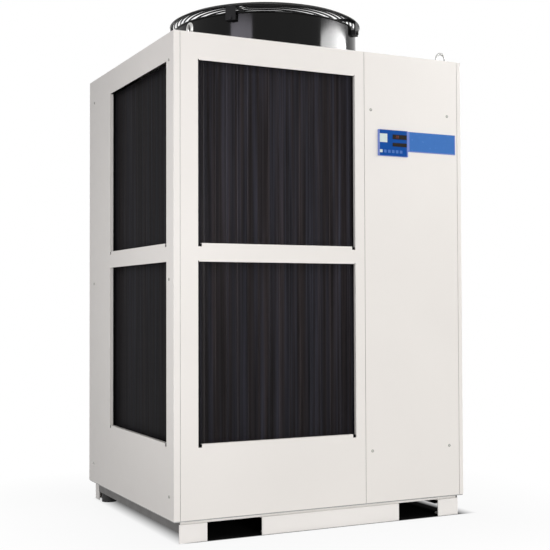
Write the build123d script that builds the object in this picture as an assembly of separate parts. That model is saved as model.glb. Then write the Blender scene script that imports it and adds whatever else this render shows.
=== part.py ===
from build123d import *
import os
from math import cos, pi, radians, sin

# Air-cooled recirculating chiller. Millimetres, Z up, floor at Z = 0.
# The front faces -Y, the left side faces -X, and the origin is the middle of the footprint.

# Cabinet
cabinet_width = 950.0
cabinet_depth = 798.0
cabinet_top = 1396.0
panel_bottom = 61.0
sheet = 1.6
fold_radius = 2.0
panel_gap = 1.6
fit_gap = 0.3
half_width = cabinet_width / 2
half_depth = cabinet_depth / 2

# How far the side panels fold round the corners
wrap_left = 18.0
wrap_right = 14.0

# Air intake windows in the front and left panels, measured from the front left corner
front_window_start = 71.5
front_window_width = 498.0
side_window_start = 57.0
side_window_width = 513.0
lower_window_bottom = 265.5
lower_window_height = 499.0
window_band = 51.0
upper_window_height = 505.0
window_return = 10.5
relief_width = 11.0
relief_height = 9.5
top_relief_width = 3.0
top_relief_height = 2.6

# Seam between the intake panel and the service panel, from the front left corner
seam_margin = 32.5
seam_from_left = front_window_start + front_window_width + seam_margin

# Base
beam_height = 50.0
beam_sheet = 3.2
beam_flange = 46.0
front_beam_inset = 6.0
rear_beam_inset = 16.0
base_side_inset = 18.0
packer_height = 8.0
packer_depth = 40.0
packer_setback = 6.0
pan_sheet = 3.0
rail_height = 30.0
rail_flange = 50.0
flange_setback = 18.0
fork_slot_left_inset = 100.0
fork_slot_left_width = 166.0
fork_slot_right_inset = 90.0
fork_slot_right_width = 141.0
anchor_hole_diameter = 14.0
anchor_from_side = 54.0
anchor_from_end = 39.0
end_cap_depth = 34.0
pad_radius = 24.0
pad_from_side = 42.0
pad_from_rear = 90.0

# Frame
post_leg = 30.0
post_sheet = 2.0
corner_tube = 50.0
centre_post_width = 44.0
centre_post_depth = 22.0
top_rail = 30.0
floor_height = 244.0
floor_sheet = 2.0
rear_rail_height = 34.0
rear_split = 640.0

# Condenser coil
coil_setback = 30.0
coil_thickness = 44.0
coil_bend = 88.0
coil_top = 1330.0
coil_front_overlap = 60.0
coil_side_overlap = 95.0
coil_rib_pitch = 33.0
coil_rib_width = 2.4
coil_rib_height = 4.0
coil_rib_margin = 4.0

# Fan
fan_centre_x = -8.0
shroud_radius = 294.0
shroud_sheet = 2.0
shroud_height = 122.0
shroud_flange = 22.0
rim_bead = 3.0
inlet_depth = 28.0
inlet_flare = 27.0
guard_radius = 305.0
guard_wire = 5.0
guard_base = 141.0
guard_rise = 15.0
guard_flat_radius = 262.0
guard_shoulder_rings = 6
guard_top_rings = 9
guard_ring_growth = 1.2
guard_centre_radius = 60.0
guard_arm_width = 4.0
guard_arm_height = 9.0
guard_arms = 4
strap_width = 32.0
strap_sheet = 4.0
strap_bottom = 98.0
strap_foot_height = 15.0
strap_clearance = 10.0
arm_spacing = 180.0
arm_width = 30.0
arm_height = 28.0
motor_plate_size = 230.0
motor_plate_sheet = 4.0
motor_radius = 72.0
motor_height = 72.0
shaft_radius = 12.0
hub_radius = 66.0
hub_height = 56.0
hub_lift = 8.0
blade_count = 5
blade_tip_clearance = 9.0
blade_thickness = 4.5
blade_root_chord = 112.0
blade_tip_chord = 176.0
blade_root_angle = 38.0
blade_tip_angle = 21.0
blade_sweep = 46.0
blade_camber = 9.0

# Lifting eyebolts
eye_outer_diameter = 40.0
eye_wire = 8.0
eye_lift = 0.5
eye_collar_diameter = 22.0
eye_collar_height = 7.0
eye_gusset = 24.0
eye_left_inset = 70.0
eye_right_inset = 33.0
eye_end_inset = 58.0
eye_hole_diameter = 11.0
eye_shank = 12.0

# Controls on the service panel, from the front left corner and from the floor
control_margin = 46.0
control_left = seam_from_left + control_margin
control_width = 105.0
control_bottom = 1089.0
control_height = 79.0
control_proud = 4.0
plate_margin = 7.1
plate_left = control_left + control_width + fit_gap
plate_width = cabinet_width - wrap_right - panel_gap - plate_margin - plate_left
plate_height = 61.0
plate_proud = 2.0
plate_drop = 1.0
display_width = 50.0
display_margin = 5.0
display_upper_height = 14.0
display_lower_height = 11.0
display_top_margin = 13.0
display_spacing = 11.0
key_size = 26.0
key_margin = 5.0
key_top_margin = 12.0
small_key = 9.0
small_key_pitch = 14.0
small_key_count = 6
small_key_bottom = 10.0
key_proud = 1.0

# Connections on the rear lower panel, from the rear right corner seen from behind
port_bore = 34.0
port_outer = 52.0
port_length = 46.0
port_hex = 62.0
port_hex_length = 14.0
port_start = 130.0
port_pitch = 130.0
port_height = 330.0
small_port_bore = 15.0
small_port_outer = 27.0
small_port_length = 30.0
small_port_flange = 40.0
small_port_flange_length = 5.0
small_port_height = 150.0
gland_bore = 30.0
gland_outer = 54.0
gland_length = 34.0
gland_start = 800.0
gland_height = 330.0
port_clearance = 0.5

left_x = -half_width
front_y = -half_depth
panel_top = cabinet_top - sheet
window_bottoms = [lower_window_bottom, lower_window_bottom + lower_window_height + window_band]
window_heights = [lower_window_height, upper_window_height]
seam_x = left_x + seam_from_left
inner_x = half_width - sheet
inner_y = half_depth - sheet
coil_bottom = floor_height + floor_sheet
top_frame_bottom = panel_top - top_rail
post_bottom = panel_bottom
pan_bottom = panel_bottom - pan_sheet


def block(x0, x1, y0, y1, z0, z1):
    """Box between two corners."""
    place = Pos((x0 + x1) / 2, (y0 + y1) / 2, (z0 + z1) / 2)
    return place * Box(abs(x1 - x0), abs(y1 - y0), abs(z1 - z0))


def upright(radius, height, x, y, z):
    """Vertical cylinder standing on z."""
    return Pos(x, y, z) * Cylinder(radius, height, align=(Align.CENTER, Align.CENTER, Align.MIN))


def outward_rod(radius, length, x, y, z):
    """Cylinder that runs from y towards the rear."""
    rod = Cylinder(radius, length, align=(Align.CENTER, Align.CENTER, Align.MIN))
    return Pos(x, y, z) * Rot(-90, 0, 0) * rod


def save(shape, name):
    shape.label = name
    export_step(shape, "parts/" + name + ".step")


def fork_slots():
    """Left and right edge of each fork slot."""
    left = left_x + fork_slot_left_inset
    right = half_width - fork_slot_right_inset
    return [(left, left + fork_slot_left_width), (right - fork_slot_right_width, right)]


def base_beam(web_y, inward):
    """Channel beam cut through where the forks go in; inward is +1 at the front and -1 at the rear."""
    end_x = half_width - base_side_inset
    back = web_y + inward * beam_sheet
    flange_end = web_y + inward * beam_flange
    beam = block(-end_x, end_x, web_y, back, 0, beam_height)
    rail_face = end_x - beam_sheet - fit_gap
    beam += block(-rail_face, rail_face, back, flange_end, beam_height - beam_sheet, beam_height)
    (slot_a, slot_b), (slot_c, slot_d) = fork_slots()
    for start, end in ((-end_x, slot_a), (slot_b, slot_c), (slot_d, end_x)):
        beam += block(start + flange_setback, end - flange_setback, back, flange_end, 0, beam_sheet)
    for start, end in fork_slots():
        beam -= block(start, end, web_y - inward, flange_end + inward, -1, beam_height + 1)
    packer_start = web_y + inward * packer_setback
    packer_end = packer_start + inward * packer_depth
    beam += block(-rail_face, rail_face, packer_start, packer_end, beam_height, beam_height + packer_height)
    hole_y = -inward * (half_depth - anchor_from_end)
    for side in (-1, 1):
        hole_x = side * (half_width - anchor_from_side)
        beam -= upright(anchor_hole_diameter / 2, beam_sheet + 2, hole_x, hole_y, -1)
    if inward < 0:
        for side in (-1, 1):
            beam += block(side * (end_x - beam_sheet), side * end_x, back, back - end_cap_depth, 0, beam_height)
    return beam


def base_rail(side):
    """Side rail from the front beam to the end cap of the rear beam, its flanges turned inward."""
    outer = half_width - base_side_inset
    inner = outer - beam_sheet
    top = pan_bottom
    bottom = top - rail_height
    front_end = front_y + front_beam_inset + beam_sheet
    rear_end = half_depth - rear_beam_inset - beam_sheet
    flange_front = front_end + beam_flange + fit_gap
    flange_rear = rear_end - beam_flange - fit_gap
    rail = block(inner, outer, front_end, rear_end - end_cap_depth, bottom, top)
    for level in (bottom, top - beam_sheet):
        rail += block(outer - rail_flange, inner, flange_front, flange_rear, level, level + beam_sheet)
    if side < 0:
        rail = rail.mirror(Plane.YZ)
    return rail


def rubber_pad(side):
    """Round pad between the side rail and the floor near the rear."""
    height = pan_bottom - rail_height
    x = side * (half_width - pad_from_side)
    return upright(pad_radius, height, x, half_depth - pad_from_rear, 0)


def base_pan():
    """Floor sheet of the cabinet."""
    edge = fit_gap
    pan = block(-inner_x + edge, inner_x - edge, -inner_y + edge, inner_y - edge, pan_bottom, panel_bottom)
    return pan


def corner_post(side_x, side_y):
    """Angle section post in a corner of the cabinet."""
    outer_x = side_x * inner_x
    outer_y = side_y * inner_y
    leg_x = outer_x - side_x * post_leg
    leg_y = outer_y - side_y * post_leg
    thick_x = outer_x - side_x * post_sheet
    thick_y = outer_y - side_y * post_sheet
    post = block(outer_x, leg_x, outer_y, thick_y, post_bottom, top_frame_bottom)
    post += block(outer_x, thick_x, outer_y, leg_y, post_bottom, top_frame_bottom)
    return post


def corner_tube_post():
    """Closed square post in the front left corner, which shuts the gap beside the bent coil."""
    x1 = -inner_x + corner_tube
    y1 = -inner_y + corner_tube
    tube = block(-inner_x, x1, -inner_y, y1, post_bottom, top_frame_bottom)
    inside = block(-inner_x + post_sheet, x1 - post_sheet, -inner_y + post_sheet, y1 - post_sheet,
                   post_bottom - 1, top_frame_bottom + 1)
    return tube - inside


def centre_post():
    """Channel post behind the seam in the front."""
    x0 = seam_x - centre_post_width / 2
    x1 = seam_x + centre_post_width / 2
    y0 = -inner_y
    y1 = -inner_y + centre_post_depth
    post = block(x0, x1, y0, y1, post_bottom, top_frame_bottom)
    inside = block(x0 + post_sheet, x1 - post_sheet, y0 + post_sheet, y1 + 1, post_bottom - 1, top_frame_bottom + 1)
    return post - inside


def rear_cross_rail():
    """Rail behind the joint of the two rear panels."""
    depth = post_leg - post_sheet
    y1 = inner_y
    z0 = rear_split - rear_rail_height / 2
    z1 = rear_split + rear_rail_height / 2
    clear = inner_x - post_leg - fit_gap
    rail = block(-clear, clear, y1 - post_sheet, y1, z0, z1)
    rail += block(-clear, clear, y1 - depth, y1 - post_sheet, z1 - post_sheet, z1)
    rail += block(-clear, clear, y1 - depth, y1 - post_sheet, z0, z0 + post_sheet)
    return rail


def top_frame():
    """Angle section ring that carries the top panel."""
    outer = block(-inner_x, inner_x, -inner_y, inner_y, top_frame_bottom, panel_top)
    hole_x = inner_x - top_rail
    hole_y = inner_y - top_rail
    inner = block(-hole_x, hole_x, -hole_y, hole_y, top_frame_bottom - 1, panel_top + 1)
    wall_x = inner_x - post_sheet
    wall_y = inner_y - post_sheet
    pocket = block(-wall_x, wall_x, -wall_y, wall_y, top_frame_bottom - 1, panel_top - post_sheet)
    frame = outer - pocket - inner
    for x, y in eye_places():
        side_x = 1 if x > 0 else -1
        side_y = 1 if y > 0 else -1
        edge_x = x - side_x * eye_gusset
        edge_y = y - side_y * eye_gusset
        frame += block(edge_x, side_x * wall_x, edge_y, side_y * wall_y, panel_top - beam_sheet, panel_top)
    for x, y in eye_places():
        frame -= upright(eye_hole_diameter / 2, top_rail + 2, x, y, top_frame_bottom - 1)
    return frame


def chamber_floor():
    """Sheet floor of the air chamber, which carries the coil."""
    x = inner_x - fit_gap
    y = inner_y - fit_gap
    floor = block(-x, x, -y, y, floor_height, floor_height + floor_sheet)
    for side_x in (-1, 1):
        for side_y in (-1, 1):
            leg = corner_tube if (side_x, side_y) == (-1, -1) else post_leg
            cut_x = side_x * (inner_x - leg - fit_gap)
            cut_y = side_y * (inner_y - leg - fit_gap)
            floor -= block(side_x * half_width, cut_x, side_y * half_depth, cut_y, 0, cabinet_top)
    x0 = seam_x - centre_post_width / 2 - fit_gap
    x1 = seam_x + centre_post_width / 2 + fit_gap
    floor -= block(x0, x1, -y - 1, -inner_y + centre_post_depth + fit_gap, 0, cabinet_top)
    return floor


def plate_with_windows(width, windows):
    """Panel standing on X from 0 to width, outer face at Y = 0; windows have folded sides and sills."""
    plate = block(0, width, 0, sheet, panel_bottom, panel_top)
    for start, end in windows:
        for bottom, height in zip(window_bottoms, window_heights):
            top = bottom + height
            frame = block(start - sheet, end + sheet, 0, window_return, bottom - sheet, top)
            plate += frame
            plate -= block(start, end, -1, window_return + 1, bottom, top)
            for edge in (start, end - relief_width):
                notch = block(edge, edge + relief_width, -1, window_return + 1, bottom - relief_height, bottom + 1)
                plate -= notch
            for edge in (start, end - top_relief_width):
                notch = block(edge, edge + top_relief_width, -1, window_return + 1, top - 1, top + top_relief_height)
                plate -= notch
    return plate


def rounded_folds(panel, x_places, y_places):
    """Rounds the upright outer edges of a panel where X and Y are among the places."""
    edges = []
    for edge in panel.edges().filter_by(Axis.Z):
        middle = edge.center()
        near_x = min(abs(middle.X - x) for x in x_places)
        near_y = min(abs(middle.Y - y) for y in y_places)
        if max(near_x, near_y) < 0.01:
            edges.append(edge)
    return fillet(edges, fold_radius)


def intake_panel():
    """Front panel with two intake windows."""
    start = left_x + wrap_left + panel_gap
    end = seam_x - panel_gap / 2
    window = (left_x + front_window_start - start, left_x + front_window_start + front_window_width - start)
    panel = plate_with_windows(end - start, [window])
    return Pos(start, front_y, 0) * panel


def service_panel():
    """Plain front panel beside the seam."""
    start = seam_x + panel_gap / 2
    end = half_width - wrap_right - panel_gap
    panel = block(start, end, front_y, front_y + sheet, panel_bottom, panel_top)
    return panel


def left_panel():
    """Left side panel with intake windows, folded round both corners."""
    rear_edge = cabinet_depth
    window = (cabinet_depth - side_window_start - side_window_width, cabinet_depth - side_window_start)
    panel = plate_with_windows(rear_edge, [window])
    panel += block(0, sheet, 0, wrap_left, panel_bottom, panel_top)
    panel += block(rear_edge - sheet, rear_edge, 0, wrap_left, panel_bottom, panel_top)
    panel = rounded_folds(panel, [0, rear_edge], [0])
    return Pos(left_x, half_depth, 0) * Rot(0, 0, -90) * panel


def right_panel():
    """Right side panel, plain, folded round both corners."""
    x = half_width
    panel = block(x - sheet, x, -half_depth, half_depth, panel_bottom, panel_top)
    for side in (-1, 1):
        y = side * half_depth
        panel += block(x - wrap_right, x, y, y - side * sheet, panel_bottom, panel_top)
    return rounded_folds(panel, [x], [-half_depth, half_depth])


def port_places():
    """Water connections: x place and height."""
    places = []
    for index in range(2):
        places.append((half_width - port_start - index * port_pitch, port_height))
    return places


def small_port_places():
    places = []
    for index in range(2):
        places.append((half_width - port_start - index * port_pitch, small_port_height))
    return places


def rear_panel(bottom, top):
    start = left_x + wrap_left + panel_gap
    end = half_width - wrap_right - panel_gap
    return block(start, end, half_depth - sheet, half_depth, bottom, top)


def rear_lower_panel():
    """Rear panel with round holes for the connections."""
    panel = rear_panel(panel_bottom, rear_split - panel_gap / 2)
    y = half_depth - sheet - 1
    for x, z in port_places():
        panel -= outward_rod(port_outer / 2 + port_clearance, sheet + 2, x, y, z)
    for x, z in small_port_places():
        panel -= outward_rod(small_port_outer / 2 + port_clearance, sheet + 2, x, y, z)
    gland_x = half_width - gland_start
    panel -= outward_rod(gland_bore / 2 + port_clearance, sheet + 2, gland_x, y, gland_height)
    return panel


def top_panel():
    """Top sheet with the fan opening and the eyebolt holes."""
    panel = block(-half_width, half_width, -half_depth, half_depth, panel_top, cabinet_top)
    panel = rounded_folds(panel, [-half_width, half_width], [-half_depth, half_depth])
    opening = shroud_radius - shroud_sheet
    panel -= upright(opening, sheet + 2, fan_centre_x, 0, panel_top - 1)
    for x, y in eye_places():
        panel -= upright(eye_hole_diameter / 2, sheet + 2, x, y, panel_top - 1)
    return panel


def coil_ribs(x0, y0, x1, y1):
    """Upright ribs of the fin pack on the outer faces of the front run, the side run and the bend."""
    bottom = coil_bottom + coil_rib_margin
    top = coil_top - coil_rib_margin
    half = coil_rib_width / 2
    front_start = x0 + coil_bend
    side_start = y0 + coil_bend
    ribs = []
    for index in range(int((x1 - front_start) / coil_rib_pitch)):
        x = front_start + (index + 0.5) * coil_rib_pitch
        ribs.append(block(x - half, x + half, y0 - coil_rib_height, y0 + half, bottom, top))
    for index in range(int((y1 - side_start) / coil_rib_pitch)):
        y = side_start + (index + 0.5) * coil_rib_pitch
        ribs.append(block(x0 - coil_rib_height, x0 + half, y - half, y + half, bottom, top))
    bend_count = int(coil_bend * pi / 2 / coil_rib_pitch)
    rib = block(-half, half, -coil_bend - coil_rib_height, half - coil_bend, bottom, top)
    for index in range(bend_count):
        angle = (index + 0.5) * 90 / bend_count
        ribs.append(Pos(front_start, side_start, 0) * Rot(0, 0, -angle) * rib)
    return ribs


def coil():
    """Condenser coil bent round the front left corner."""
    x0 = left_x + coil_setback
    y0 = front_y + coil_setback
    x1 = left_x + front_window_start + front_window_width + coil_front_overlap
    y1 = front_y + side_window_start + side_window_width + coil_side_overlap
    height = coil_top - coil_bottom
    outer = block(x0, x1, y0, y1, coil_bottom, coil_top)
    corner = outer.edges().filter_by(Axis.Z).sort_by(lambda edge: edge.center().X + edge.center().Y)[0]
    outer = fillet(corner, coil_bend)
    inner = block(x0 + coil_thickness, x1 + 1, y0 + coil_thickness, y1 + 1, coil_bottom - 1, coil_top + 1)
    corner = inner.edges().filter_by(Axis.Z).sort_by(lambda edge: edge.center().X + edge.center().Y)[0]
    inner = fillet(corner, coil_bend - coil_thickness)
    return (outer - inner) + coil_ribs(x0, y0, x1, y1)


def revolved(points):
    """Ring turned about the fan axis from a closed outline of radius and height."""
    with BuildPart() as ring:
        with BuildSketch(Plane.XZ):
            with BuildLine():
                Polyline(*points, close=True)
            make_face()
        revolve(axis=Axis.Z)
    return Pos(fan_centre_x, 0, 0) * ring.part


def fan_shroud():
    """Sheet barrel on the top panel with a foot flange and a rolled rim."""
    foot = cabinet_top
    rim = cabinet_top + shroud_height
    inner = shroud_radius - shroud_sheet
    flange = shroud_radius + shroud_flange
    points = [
        (inner, foot),
        (flange, foot),
        (flange, foot + shroud_sheet),
        (shroud_radius, foot + shroud_sheet),
        (shroud_radius, rim),
        (inner, rim),
    ]
    bead = Pos(fan_centre_x, 0, rim) * Torus(shroud_radius, rim_bead)
    return revolved(points) + bead


def fan_inlet():
    """Bellmouth under the top panel that leads the air into the barrel."""
    top = panel_top
    throat = shroud_radius - shroud_sheet
    with BuildPart() as ring:
        with BuildSketch(Plane.XZ):
            with BuildLine():
                outer_start = (throat + shroud_sheet, top)
                outer_end = (throat + inlet_flare, top - inlet_depth + shroud_sheet)
                inner_start = (throat, top)
                inner_end = (throat + inlet_flare, top - inlet_depth)
                RadiusArc(inner_start, inner_end, inlet_depth)
                Line(inner_end, outer_end)
                RadiusArc(outer_end, outer_start, -(inlet_depth - shroud_sheet))
                Line(outer_start, inner_start)
            make_face()
        revolve(axis=Axis.Z)
    return Pos(fan_centre_x, 0, 0) * ring.part


def guard_level(radius):
    """Height of the guard wires: flat in the middle, then falling to the outer ring."""
    base = cabinet_top + guard_base
    if radius <= guard_flat_radius:
        return base + guard_rise
    share = (radius - guard_flat_radius) / (guard_radius - guard_flat_radius)
    return base + guard_rise * cos(share * pi / 2)


def guard_radii():
    """Ring radii: close together on the shoulder, wider apart towards the centre plate."""
    radii = [guard_radius]
    for index in range(1, guard_shoulder_rings + 1):
        angle = index / guard_shoulder_rings * pi / 2
        radii.append(guard_flat_radius + (guard_radius - guard_flat_radius) * cos(angle))
    span = guard_flat_radius - guard_centre_radius
    for index in range(1, guard_top_rings + 1):
        share = (index / (guard_top_rings + 1)) ** guard_ring_growth
        radii.append(guard_flat_radius - span * share)
    return radii


def guard_arm():
    """Flat bar on edge under the wires, from the centre plate to the outer ring."""
    samples = [guard_centre_radius - 10, guard_flat_radius]
    for index in range(1, 5):
        angle = index / 4 * pi / 2
        samples.append(guard_flat_radius + (guard_radius - guard_flat_radius) * sin(angle))
    upper = [(radius, guard_level(radius)) for radius in samples]
    lower = [(radius, guard_level(radius) - guard_arm_height) for radius in reversed(samples)]
    with BuildPart() as arm:
        with BuildSketch(Plane.XZ):
            with BuildLine():
                Polyline(*(upper + lower), close=True)
            make_face()
        extrude(amount=guard_arm_width / 2, both=True)
    return arm.part


def guard_strap():
    """Strap that holds the guard off the barrel and bolts to its side."""
    inner = shroud_radius + strap_clearance
    outer = inner + strap_sheet
    half = strap_width / 2
    bottom = cabinet_top + strap_bottom
    top = cabinet_top + guard_base
    strap = block(inner, outer, -half, half, bottom, top)
    strap += block(guard_radius - guard_wire, outer, -half, half, top - strap_sheet, top)
    foot = block(shroud_radius - shroud_sheet / 2, inner, -half, half, bottom, bottom + strap_foot_height)
    foot -= Cylinder(shroud_radius + fit_gap, cabinet_top * 4)
    return strap + foot


def fan_guard():
    """Wire guard: rings, four arms, a centre plate and four straps."""
    guard = upright(guard_centre_radius, guard_wire, 0, 0, cabinet_top + guard_base + guard_rise - guard_wire / 2)
    for radius in guard_radii():
        guard += Pos(0, 0, guard_level(radius)) * Torus(radius, guard_wire / 2)
    for index in range(guard_arms):
        turn = Rot(0, 0, 45 + index * 360 / guard_arms)
        guard += turn * guard_arm()
        guard += turn * guard_strap()
    return Pos(fan_centre_x, 0, 0) * guard


def motor_arms():
    """Two bars under the top frame with a plate for the fan motor."""
    top = top_frame_bottom
    bottom = top - arm_height
    reach = inner_y - fit_gap
    bars = None
    for side in (-1, 1):
        x = fan_centre_x + side * arm_spacing / 2
        bar = block(x - arm_width / 2, x + arm_width / 2, -reach, reach, bottom, top)
        hollow = block(x - arm_width / 2 + post_sheet, x + arm_width / 2 - post_sheet,
                       -reach - 1, reach + 1, bottom - 1, top - post_sheet)
        bar -= hollow
        bars = bar if bars is None else bars + bar
    half = motor_plate_size / 2
    bars += block(fan_centre_x - half, fan_centre_x + half, -half, half, top, top + motor_plate_sheet)
    return bars


def fan_motor():
    """Squat motor on its plate, with a shaft into the hub."""
    bottom = top_frame_bottom + motor_plate_sheet
    motor = upright(motor_radius, motor_height, fan_centre_x, 0, bottom)
    motor = fillet(motor.edges().group_by(Axis.Z)[-1], 10)
    shaft_length = hub_lift + hub_height / 2
    motor += upright(shaft_radius, shaft_length, fan_centre_x, 0, bottom + motor_height)
    return motor


def blade_section(radius, chord, angle, camber, shift, level):
    """Curved plate section of a blade, square to the radius."""
    tilt = radians(angle)
    origin = (radius, shift, level)
    plane = Plane(origin=origin, x_dir=(0, cos(tilt), sin(tilt)), z_dir=(1, 0, 0))
    half = chord / 2
    edge = blade_thickness / 4
    with BuildSketch(plane) as section:
        with BuildLine():
            ThreePointArc((-half, edge), (0, camber + blade_thickness / 2), (half, edge))
            Line((half, edge), (half, -edge))
            ThreePointArc((half, -edge), (0, camber - blade_thickness / 2), (-half, -edge))
            Line((-half, -edge), (-half, edge))
        make_face()
    return section.sketch


def fan_rotor():
    """Hub with twisted, swept blades."""
    hub_bottom = top_frame_bottom + motor_plate_sheet + motor_height + hub_lift
    hub = upright(hub_radius, hub_height, 0, 0, hub_bottom)
    hub = fillet(hub.edges().group_by(Axis.Z)[-1], 8)
    level = hub_bottom + hub_height / 2
    root = hub_radius - 12
    tip = shroud_radius - shroud_sheet - blade_tip_clearance
    middle = (root + tip) / 2
    middle_chord = (blade_root_chord + blade_tip_chord) / 2
    middle_angle = (blade_root_angle + blade_tip_angle) / 2
    sections = [
        blade_section(root, blade_root_chord * 0.8, blade_root_angle, blade_camber, 0, level),
        blade_section(middle, middle_chord, middle_angle, blade_camber, blade_sweep / 3, level),
        blade_section(tip - blade_sweep / 2, blade_tip_chord, blade_tip_angle, blade_camber, blade_sweep, level),
    ]
    blade = loft(Sketch() + sections)
    rotor = hub
    for index in range(blade_count):
        rotor += Rot(0, 0, index * 360 / blade_count) * blade
    bore_clearance = fit_gap
    rotor -= upright(shaft_radius + bore_clearance, hub_height / 2 + bore_clearance + 1, 0, 0, hub_bottom - 1)
    return Pos(fan_centre_x, 0, 0) * rotor


def eye_places():
    places = []
    for side_y in (-1, 1):
        y = side_y * (half_depth - eye_end_inset)
        places.append((-half_width + eye_left_inset, y))
        places.append((half_width - eye_right_inset, y))
    return places


def eyebolt(x, y):
    """Lifting eye with a collar on the top panel and a shank into the frame."""
    ring_radius = (eye_outer_diameter - eye_wire) / 2
    centre = cabinet_top + eye_lift + eye_outer_diameter / 2
    turn = 90 if x < 0 else 0
    ring = Pos(x, y, centre) * Rot(0, 0, turn) * Rot(90, 0, 0) * Torus(ring_radius, eye_wire / 2)
    collar = upright(eye_collar_diameter / 2, eye_collar_height, x, y, cabinet_top)
    shank_radius = eye_hole_diameter / 2 - fit_gap
    shank = upright(shank_radius, eye_shank + sheet, x, y, cabinet_top - sheet - eye_shank)
    return ring + collar + shank


def control_block():
    """Raised control block with pockets for its displays and keys."""
    x0 = left_x + control_left
    y1 = front_y
    body = block(x0, x0 + control_width, y1 - control_proud, y1, control_bottom, control_bottom + control_height)
    body = fillet(body.edges().filter_by(Axis.Y), 2)
    return body


def display_boxes():
    """Left, right, bottom and top edge of each display window."""
    right = left_x + control_left + control_width - display_margin
    left = right - display_width
    top = control_bottom + control_height - display_top_margin
    boxes = [(left, right, top - display_upper_height, top)]
    top -= display_upper_height + display_spacing
    boxes.append((left, right, top - display_lower_height, top))
    return boxes


def display_windows():
    """Two dark display windows on the control block."""
    y = front_y - control_proud
    shapes = [block(x0, x1, y - key_proud, y, z0, z1) for x0, x1, z0, z1 in display_boxes()]
    return Compound(children=shapes)


def control_keys():
    """One large key and a row of small ones."""
    y = front_y - control_proud
    x0 = left_x + control_left + key_margin
    top = control_bottom + control_height - key_top_margin
    shapes = [block(x0, x0 + key_size, y - key_proud, y, top - key_size, top)]
    z0 = control_bottom + small_key_bottom
    for index in range(small_key_count):
        x = x0 + index * small_key_pitch
        shapes.append(block(x, x + small_key, y - key_proud, y, z0, z0 + small_key))
    return Compound(children=shapes)


def name_plate():
    """Bare plate beside the control block."""
    x0 = left_x + plate_left
    top = control_bottom + control_height - plate_drop
    plate = block(x0, x0 + plate_width, front_y - plate_proud, front_y, top - plate_height, top)
    return plate


def water_port(x, z):
    """Threaded connection: hexagon outside the panel, bore open to the rear."""
    y0 = half_depth - sheet
    body = outward_rod(port_outer / 2, port_length, x, y0, z)
    flats = RegularPolygon(port_hex / 2, 6)
    hexagon = extrude(flats, port_hex_length)
    body += Pos(x, half_depth, z) * Rot(-90, 0, 0) * hexagon
    body -= outward_rod(port_bore / 2, port_length + 2, x, y0 - 1, z)
    return body


def small_port(x, z):
    """Small threaded connection with a round flange outside the panel."""
    y0 = half_depth - sheet
    body = outward_rod(small_port_outer / 2, small_port_length, x, y0, z)
    body += outward_rod(small_port_flange / 2, small_port_flange_length, x, half_depth, z)
    body -= outward_rod(small_port_bore / 2, small_port_length + 2, x, y0 - 1, z)
    return body


def cable_gland():
    """Gland with a domed cap for the supply cable."""
    x = half_width - gland_start
    body = outward_rod(gland_bore / 2, sheet, x, half_depth - sheet, gland_height)
    cap = outward_rod(gland_outer / 2, gland_length, x, half_depth, gland_height)
    cap = fillet(cap.edges().group_by(Axis.Y)[-1], 6)
    body += cap
    body -= outward_rod(gland_bore / 3, gland_length + 2 * sheet, x, half_depth - sheet - 1, gland_height)
    return body


def main():
    save(base_beam(front_y + front_beam_inset, 1), "base_beam_front")
    save(base_beam(half_depth - rear_beam_inset, -1), "base_beam_rear")
    for side, name in ((-1, "left"), (1, "right")):
        save(base_rail(side), "base_rail_" + name)
        save(rubber_pad(side), "rubber_pad_" + name)
        save(corner_post(side, 1), "post_rear_" + name)
    save(corner_tube_post(), "post_front_left")
    save(corner_post(1, -1), "post_front_right")
    save(base_pan(), "base_pan")
    save(centre_post(), "post_front_centre")
    save(rear_cross_rail(), "rear_cross_rail")
    save(top_frame(), "top_frame")
    save(chamber_floor(), "chamber_floor")
    save(intake_panel(), "front_intake_panel")
    save(service_panel(), "service_panel")
    save(left_panel(), "left_panel")
    save(right_panel(), "right_panel")
    save(rear_panel(rear_split + panel_gap / 2, panel_top), "rear_upper_panel")
    save(rear_lower_panel(), "rear_lower_panel")
    save(top_panel(), "top_panel")
    save(coil(), "condenser_coil")
    save(fan_shroud(), "fan_shroud")
    save(fan_inlet(), "fan_inlet")
    save(fan_guard(), "fan_guard")
    save(motor_arms(), "motor_arms")
    save(fan_motor(), "fan_motor")
    save(fan_rotor(), "fan_rotor")
    corners = ("front_left", "front_right", "rear_left", "rear_right")
    for place, name in zip(eye_places(), corners):
        save(eyebolt(*place), "eyebolt_" + name)
    save(control_block(), "control_block")
    save(display_windows(), "display_windows")
    save(control_keys(), "control_keys")
    save(name_plate(), "name_plate")
    for place, name in zip(port_places(), ("water_outlet", "water_return")):
        save(water_port(*place), name)
    for place, name in zip(small_port_places(), ("drain_port", "overflow_port")):
        save(small_port(*place), name)
    save(cable_gland(), "cable_gland")


main()
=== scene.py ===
import bpy
from math import cos, pi, radians, sin
from mathutils import Matrix, Vector


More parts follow.
